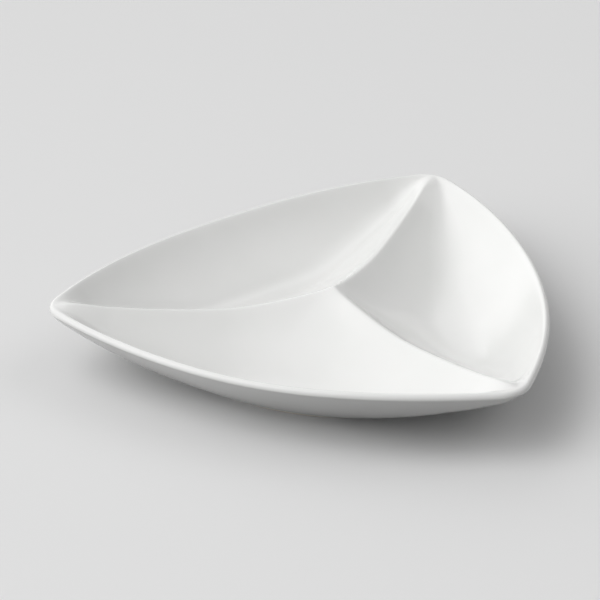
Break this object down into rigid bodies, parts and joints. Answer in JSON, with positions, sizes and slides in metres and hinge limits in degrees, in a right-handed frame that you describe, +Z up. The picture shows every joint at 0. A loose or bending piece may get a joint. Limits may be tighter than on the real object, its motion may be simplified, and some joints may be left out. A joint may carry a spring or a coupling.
{
  "type": "divided serving bowl",
  "caption": "Low white serving bowl with a rounded triangular plan, crested dividers that meet at a central peak, and a foot ring under each compartment.",
  "frame": {"origin": "on the surface the bowl stands on, under the middle of its length and width; the peak where the dividers meet stands 23 mm in front of it", "axes": "+Z up, +Y towards the back corner, +X towards the right corner"},
  "size_m": [0.3068, 0.302, 0.0463],
  "materials": {
    "glaze": "glossy white glaze",
    "biscuit": "matt unglazed fired porcelain"
  },
  "bodies": {
    "root": {"left_compartment": "glaze", "right_compartment": "glaze", "front_compartment": "glaze", "left_divider": "glaze", "right_divider": "glaze", "back_divider": "glaze", "rim": "glaze", "left_foot_ring": "biscuit", "right_foot_ring": "biscuit", "front_foot_ring": "biscuit"}
  },
  "joints": []
}
